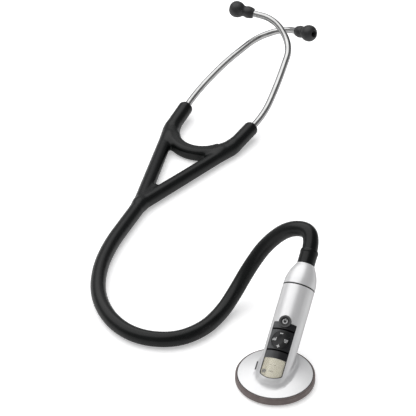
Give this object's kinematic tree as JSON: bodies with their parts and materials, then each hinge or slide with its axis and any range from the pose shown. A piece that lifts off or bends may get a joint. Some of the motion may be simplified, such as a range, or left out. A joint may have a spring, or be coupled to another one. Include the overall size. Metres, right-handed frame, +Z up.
{
  "type": "electronic stethoscope",
  "caption": "Electronic stethoscope with a round diaphragm head, slanted battery handle with keypad and display, black hose, yoke, spring ear tubes and soft ear tips.",
  "frame": {"origin": "centre of the diaphragm's face, which rests on the table", "axes": "+Z up, away from the diaphragm's face; +Y level along the handle, from the diaphragm towards the hose; +X to the right of a person who looks along +Y"},
  "size_m": [0.1877, 0.38, 0.0653],
  "materials": {
    "silver_housing": "satin silver",
    "rim_rubber": "matte taupe",
    "diaphragm_film": "satin",
    "black_rubber": "matte",
    "hose_rubber": "semi-gloss",
    "eartip_rubber": "matte",
    "black_plastic": "matte",
    "panel_black": "satin",
    "key_black": "satin",
    "lcd_cream": "matte",
    "clear_lens": "clear",
    "ear_tube_steel": "polished",
    "steel": "brushed",
    "aluminium": "machined",
    "brass": "plain",
    "foam": "foam",
    "board_green": "solder mask",
    "cell_jacket": "printed film without lettering"
  },
  "bodies": {
    "chestpiece_and_yoke": {"diaphragm": "diaphragm_film", "diaphragm_rim": "rim_rubber", "cover_gasket": "black_rubber", "base_plate": "aluminium", "base_screws": "steel", "piezo_sensor": "brass", "sensor_cushion": "foam", "ambient_microphone": "steel", "chest_housing": "silver_housing", "noise_port": "black_plastic", "lcd_lens": "clear_lens", "lcd_display": "lcd_cream", "lcd_gasket": "black_rubber", "control_panel": "panel_black", "power_bezel": "black_plastic", "circuit_board": "board_green", "board_screws": "steel", "board_chips": "black_plastic", "switch_domes": "steel", "hose": "hose_rubber", "yoke": "hose_rubber", "leaf_spring": "steel"},
    "power_key": {"power_button": "key_black"},
    "pad_gimbal": {"pad_pivot": "steel"},
    "menu_pad": {"nav_pad": "key_black"},
    "release_key": {"release_button": "black_plastic"},
    "battery_cap": {"end_cap": "silver_housing", "cap_seal": "black_rubber", "battery_carrier": "black_plastic", "battery": "cell_jacket", "negative_contact": "steel", "positive_contact": "steel", "speaker": "aluminium", "speaker_gasket": "foam", "hose_barb": "steel", "strain_relief": "hose_rubber"},
    "left_arm": {"left_sleeve": "hose_rubber"},
    "right_arm": {"right_sleeve": "hose_rubber"},
    "left_tube": {"left_ear_tube": "ear_tube_steel", "left_tip_barrel": "steel"},
    "right_tube": {"right_ear_tube": "ear_tube_steel", "right_tip_barrel": "steel"},
    "left_tip": {"left_eartip": "eartip_rubber"},
    "right_tip": {"right_eartip": "eartip_rubber"}
  },
  "joints": [
    {"name": "battery_cap_pull", "type": "slide", "parent": "chestpiece_and_yoke", "child": "battery_cap", "axis": [0, 0.8387, 0.5446], "range_m": [0, 0.06], "deforming": ["hose"]},
    {"name": "power_press", "type": "slide", "parent": "chestpiece_and_yoke", "child": "power_key", "axis": [0, 0.5446, -0.8387], "range_m": [0, 0.0005], "stiffness_N_per_m": 300},
    {"name": "pad_rock_up_down", "type": "hinge", "parent": "chestpiece_and_yoke", "child": "pad_gimbal", "pos_m": [0, 0.00888, 0.0261], "axis": [1, 0, 0], "range_deg": [-3, 3], "stiffness_Nm_per_rad": 0.02},
    {"name": "pad_rock_left_right", "type": "hinge", "parent": "pad_gimbal", "child": "menu_pad", "pos_m": [0, 0.00888, 0.0261], "axis": [0, 0.8387, 0.5446], "range_deg": [-3, 3], "stiffness_Nm_per_rad": 0.02},
    {"name": "release_press", "type": "slide", "parent": "chestpiece_and_yoke", "child": "release_key", "axis": [0, -0.5446, 0.8387], "range_m": [0, 0.0008], "stiffness_N_per_m": 300},
    {"name": "left_spread", "type": "hinge", "parent": "chestpiece_and_yoke", "child": "left_arm", "pos_m": [-0.15699, 0.23277, 0.0052], "axis": [0, 0, 1], "range_deg": [0, 38], "stiffness_Nm_per_rad": 0.7},
    {"name": "right_spread", "type": "hinge", "parent": "chestpiece_and_yoke", "child": "right_arm", "pos_m": [-0.10735, 0.22526, 0.0052], "axis": [0, 0, -1], "range_deg": [0, 38], "stiffness_Nm_per_rad": 0.7},
    {"name": "left_tube_twist", "type": "hinge", "parent": "left_arm", "child": "left_tube", "pos_m": [-0.15699, 0.23277, 0.0052], "axis": [0.1056, 0.9836, 0.146], "range_deg": [0, 15]},
    {"name": "right_tube_twist", "type": "hinge", "parent": "right_arm", "child": "right_tube", "pos_m": [-0.10735, 0.22526, 0.0052], "axis": [0.2467, 0.9624, 0.1136], "range_deg": [0, 15]},
    {"name": "left_tip_pull", "type": "slide", "parent": "left_tube", "child": "left_tip", "axis": [0.842, -0.4485, 0.2999], "range_m": [0, 0.014]},
    {"name": "right_tip_pull", "type": "slide", "parent": "right_tube", "child": "right_tip", "axis": [-0.992, -0.0502, 0.1155], "range_m": [0, 0.014]}
  ],
  "couplings": [
    {"joint": "right_spread", "follows": "left_spread", "ratio": 1}
  ]
}
